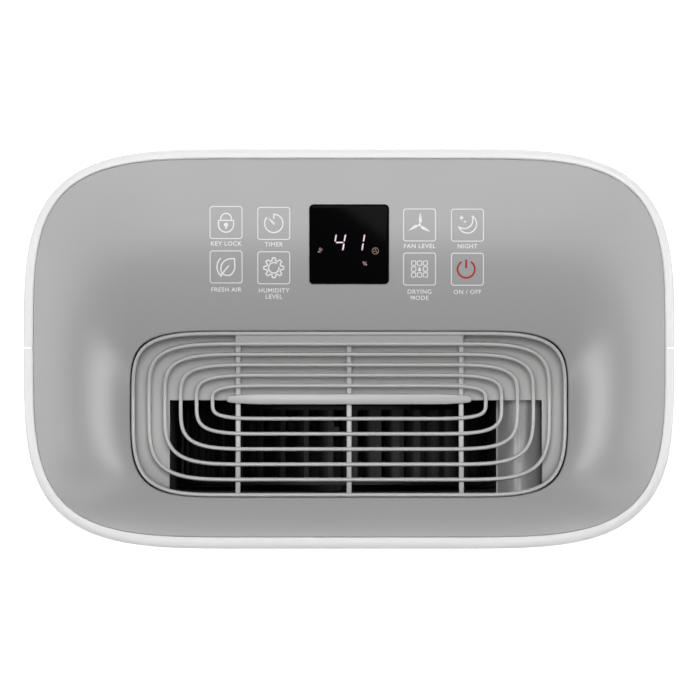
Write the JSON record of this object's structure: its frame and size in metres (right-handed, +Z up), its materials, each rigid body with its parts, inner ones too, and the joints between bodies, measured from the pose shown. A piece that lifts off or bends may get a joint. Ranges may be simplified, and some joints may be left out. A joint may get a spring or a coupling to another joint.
{
  "type": "compressor dehumidifier",
  "caption": "Upright rounded cabinet that dries room air, with a dished top, ring outlet grille, display, touch keys, pull-out water tank, rear intake filter and castors.",
  "frame": {"origin": "on the floor, under the middle of the cabinet", "axes": "+X to the right seen from the front, +Y to the back, +Z up; the tank's front panel faces -Y"},
  "size_m": [0.37, 0.226, 0.59],
  "materials": {
    "shell_white": "satin gloss",
    "cover_grey": "fine grained satin",
    "grille_grey": "satin",
    "lens_black": "high gloss",
    "dark_plastic": "matte",
    "deck_grey": "matte",
    "duct_grey": "satin",
    "board_green": "satin",
    "zinc_steel": "zinc plated",
    "fin_aluminium": "mill finish",
    "pipe_copper": "drawn copper",
    "comp_black": "black enamel",
    "base_paint": "powder coat",
    "black_rubber": "matte",
    "tray_white": "satin",
    "tank_smoke": "clear tinted",
    "window_smoke": "clear smoked",
    "mesh_black": "woven net",
    "float_white": "foamed",
    "wheel_grey": "satin nylon"
  },
  "bodies": {
    "cabinet": {"front_shell": "shell_white", "rear_shell": "shell_white", "top_cover": "cover_grey", "outlet_grille": "grille_grey", "outlet_well": "grille_grey", "well_seal": "black_rubber", "display_window": "lens_black", "display_module": "dark_plastic", "control_board": "board_green", "touch_springs": "zinc_steel", "board_screws": "zinc_steel", "handle_cup_left": "shell_white", "handle_cup_right": "shell_white", "base_plate": "base_paint", "mid_deck": "deck_grey", "tank_bay": "deck_grey", "shell_screws": "zinc_steel", "fan_scroll": "duct_grey", "scroll_cover": "duct_grey", "fan_motor": "zinc_steel", "motor_screws": "zinc_steel", "evaporator_fins": "fin_aluminium", "evaporator_tube": "pipe_copper", "condenser_fins": "fin_aluminium", "condenser_tube": "pipe_copper", "drain_tray": "tray_white", "drain_elbow": "tray_white", "compressor": "comp_black", "accumulator": "comp_black", "compressor_grommets": "black_rubber", "compressor_bolts": "zinc_steel", "discharge_pipe": "pipe_copper", "suction_pipe": "pipe_copper", "capillary_tube": "pipe_copper", "electrics_box": "deck_grey", "run_capacitor": "fin_aluminium", "cord_gland": "black_rubber", "tank_switch": "dark_plastic", "drain_spigot": "dark_plastic"},
    "fan": {"fan_wheel": "dark_plastic", "motor_shaft": "zinc_steel", "fan_nut": "zinc_steel"},
    "tank": {"water_tank": "tank_smoke", "tank_front": "shell_white", "level_window": "window_smoke", "tank_lid": "tray_white"},
    "tank_handle": {"tank_handle": "grille_grey"},
    "tank_float": {"tank_float": "float_white"},
    "intake": {"intake_grille": "shell_white", "filter_frame": "deck_grey", "filter_mesh": "mesh_black"},
    "drain_plug": {"drain_plug": "black_rubber"},
    "fork_front_left": {"castor_fork_front_left": "dark_plastic"},
    "wheel_front_left": {"castor_wheel_front_left": "wheel_grey"},
    "fork_front_right": {"castor_fork_front_right": "dark_plastic"},
    "wheel_front_right": {"castor_wheel_front_right": "wheel_grey"},
    "fork_rear_left": {"castor_fork_rear_left": "dark_plastic"},
    "wheel_rear_left": {"castor_wheel_rear_left": "wheel_grey"},
    "fork_rear_right": {"castor_fork_rear_right": "dark_plastic"},
    "wheel_rear_right": {"castor_wheel_rear_right": "wheel_grey"}
  },
  "joints": [
    {"name": "fan_spin", "type": "hinge", "parent": "cabinet", "child": "fan", "pos_m": [-0.0093, -0.0567, 0.4], "axis": [0, 1, 0], "continuous": true},
    {"name": "tank_slide", "type": "slide", "parent": "cabinet", "child": "tank", "axis": [0, -1, 0], "range_m": [0, 0.16]},
    {"name": "handle_hinge", "type": "hinge", "parent": "tank", "child": "tank_handle", "pos_m": [0, -0.058, 0.211], "axis": [1, 0, 0], "range_deg": [0, 90]},
    {"name": "float_hinge", "type": "hinge", "parent": "tank", "child": "tank_float", "pos_m": [-0.098, -0.08, 0.184], "axis": [1, 0, 0], "range_deg": [0, 16]},
    {"name": "intake_pull", "type": "slide", "parent": "cabinet", "child": "intake", "axis": [0, 1, 0], "range_m": [0, 0.06]},
    {"name": "plug_pull", "type": "slide", "parent": "cabinet", "child": "drain_plug", "axis": [0, 1, 0], "range_m": [0, 0.03]},
    {"name": "swivel_front_left", "type": "hinge", "parent": "cabinet", "child": "fork_front_left", "pos_m": [-0.135, -0.068, 0.034], "axis": [0, 0, 1], "continuous": true},
    {"name": "roll_front_left", "type": "hinge", "parent": "fork_front_left", "child": "wheel_front_left", "pos_m": [-0.135, -0.059, 0.0125], "axis": [1, 0, 0], "continuous": true},
    {"name": "swivel_front_right", "type": "hinge", "parent": "cabinet", "child": "fork_front_right", "pos_m": [0.135, -0.068, 0.034], "axis": [0, 0, 1], "continuous": true},
    {"name": "roll_front_right", "type": "hinge", "parent": "fork_front_right", "child": "wheel_front_right", "pos_m": [0.135, -0.059, 0.0125], "axis": [1, 0, 0], "continuous": true},
    {"name": "swivel_rear_left", "type": "hinge", "parent": "cabinet", "child": "fork_rear_left", "pos_m": [-0.135, 0.068, 0.034], "axis": [0, 0, 1], "continuous": true},
    {"name": "roll_rear_left", "type": "hinge", "parent": "fork_rear_left", "child": "wheel_rear_left", "pos_m": [-0.135, 0.077, 0.0125], "axis": [1, 0, 0], "continuous": true},
    {"name": "swivel_rear_right", "type": "hinge", "parent": "cabinet", "child": "fork_rear_right", "pos_m": [0.135, 0.068, 0.034], "axis": [0, 0, 1], "continuous": true},
    {"name": "roll_rear_right", "type": "hinge", "parent": "fork_rear_right", "child": "wheel_rear_right", "pos_m": [0.135, 0.077, 0.0125], "axis": [1, 0, 0], "continuous": true}
  ]
}
